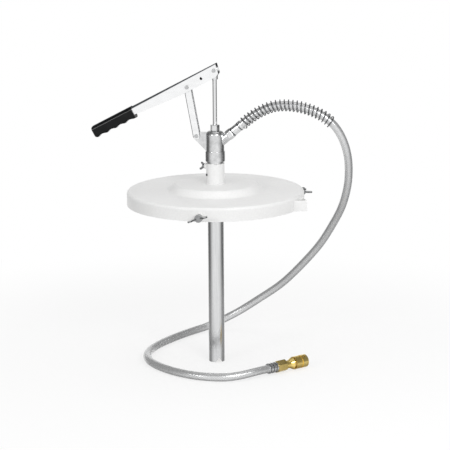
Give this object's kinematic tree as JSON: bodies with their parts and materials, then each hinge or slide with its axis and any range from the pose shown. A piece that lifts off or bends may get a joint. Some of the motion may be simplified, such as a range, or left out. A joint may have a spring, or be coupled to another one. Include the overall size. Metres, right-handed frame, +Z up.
{
  "type": "hand lever transfer pump",
  "caption": "Hand lever fluid transfer pump on a white pail lid, with a suction tube, a linked lever and grip, and a braided hose ending in a brass coupler.",
  "frame": {"origin": "centre of the lid's flat underside, the plane where a pail's rim seats, on the pump's axis", "axes": "+Z up along the pump's rod, -X towards the grip, +X towards the outlet"},
  "size_m": [0.4842, 0.4037, 0.5677],
  "materials": {
    "white_paint": "gloss powder coat",
    "bright_zinc": "bright zinc plate",
    "cast_metal": "fine cast, satin",
    "chrome": "polished",
    "pin_steel": "dull plated",
    "brass": "turned",
    "grip_rubber": "semi-gloss moulded",
    "hose_wall": "clear glossy wall over a pale braid",
    "seal_rubber": "matte",
    "black_steel": "black oxide"
  },
  "bodies": {
    "lid": {"lid": "white_paint", "lid_collar": "white_paint", "grub_screw": "black_steel", "collar_boss": "white_paint", "rim_bosses": "white_paint", "nozzle_pocket": "white_paint"},
    "collar_screw": {"collar_screw": "bright_zinc"},
    "rim_screw_front": {"rim_screw_front": "bright_zinc"},
    "rim_screw_right": {"rim_screw_right": "bright_zinc"},
    "rim_screw_left": {"rim_screw_left": "bright_zinc"},
    "pump": {"suction_tube": "chrome", "tube_foot": "chrome", "foot_valve_seat": "brass", "foot_valve_cage": "brass", "pump_head": "cast_metal", "tube_seal": "seal_rubber", "gland_washer": "brass", "gland_packing": "seal_rubber", "packing_nut": "bright_zinc", "outlet_nipple": "bright_zinc", "hose_ferrule": "bright_zinc", "hose": "hose_wall", "spring_guard": "bright_zinc", "end_ferrule": "bright_zinc", "hex_adapter": "brass", "coupler_body": "brass", "coupler_seal": "seal_rubber", "coupler_spring": "bright_zinc", "coupler_balls": "chrome"},
    "coupler_sleeve": {"coupler_sleeve": "brass"},
    "foot_valve_ball": {"foot_valve_ball": "chrome"},
    "rod": {"piston_rod": "chrome", "rod_head": "bright_zinc", "piston_body": "brass", "piston_cup": "seal_rubber", "piston_nut": "brass"},
    "piston_ball": {"piston_ball": "chrome"},
    "lever": {"lever_arm_channel": "bright_zinc", "rod_pin": "pin_steel", "fulcrum_pin": "pin_steel", "fulcrum_spacer": "bright_zinc", "grip": "grip_rubber"},
    "link": {"link_bar_front": "bright_zinc", "link_bar_rear": "bright_zinc", "link_pin": "pin_steel"}
  },
  "joints": [
    {"name": "pump_height", "type": "slide", "parent": "lid", "child": "pump", "axis": [0, 0, 1], "range_m": [-0.0035, 0.12]},
    {"name": "rod_slide", "type": "slide", "parent": "pump", "child": "rod", "axis": [0, 0, 1], "range_m": [-0.0599, 0]},
    {"name": "lever_swing", "type": "hinge", "parent": "rod", "child": "lever", "pos_m": [0, 0, 0.2249], "axis": [0, 1, 0], "range_deg": [0, 60]},
    {"name": "link_swing", "type": "hinge", "parent": "pump", "child": "link", "pos_m": [-0.034, 0, 0.1024], "axis": [0, 1, 0], "range_deg": [-1.3, 0]},
    {"name": "foot_valve_lift", "type": "slide", "parent": "pump", "child": "foot_valve_ball", "axis": [0, 0, 1], "range_m": [0, 0.004]},
    {"name": "piston_valve_lift", "type": "slide", "parent": "rod", "child": "piston_ball", "axis": [0, 0, 1], "range_m": [0, 0.0035]},
    {"name": "coupler_release", "type": "slide", "parent": "pump", "child": "coupler_sleeve", "axis": [-0.7071, -0.7071, 0], "range_m": [0, 0.003]},
    {"name": "collar_screw_turn", "type": "hinge", "parent": "lid", "child": "collar_screw", "pos_m": [-0.024, 0, 0.0459], "axis": [-1, 0, 0], "continuous": true},
    {"name": "rim_screw_front_turn", "type": "hinge", "parent": "lid", "child": "rim_screw_front", "pos_m": [0, -0.17, -0.015], "axis": [0, -1, 0], "continuous": true},
    {"name": "rim_screw_right_turn", "type": "hinge", "parent": "lid", "child": "rim_screw_right", "pos_m": [0.14722, 0.085, -0.015], "axis": [0.866, 0.5, 0], "continuous": true},
    {"name": "rim_screw_left_turn", "type": "hinge", "parent": "lid", "child": "rim_screw_left", "pos_m": [-0.14722, 0.085, -0.015], "axis": [-0.866, 0.5, 0], "continuous": true}
  ],
  "couplings": [
    {"joint": "rod_slide", "follows": "lever_swing", "m_per_rad": -0.057157},
    {"joint": "link_swing", "follows": "lever_swing", "ratio": -0.021229}
  ]
}
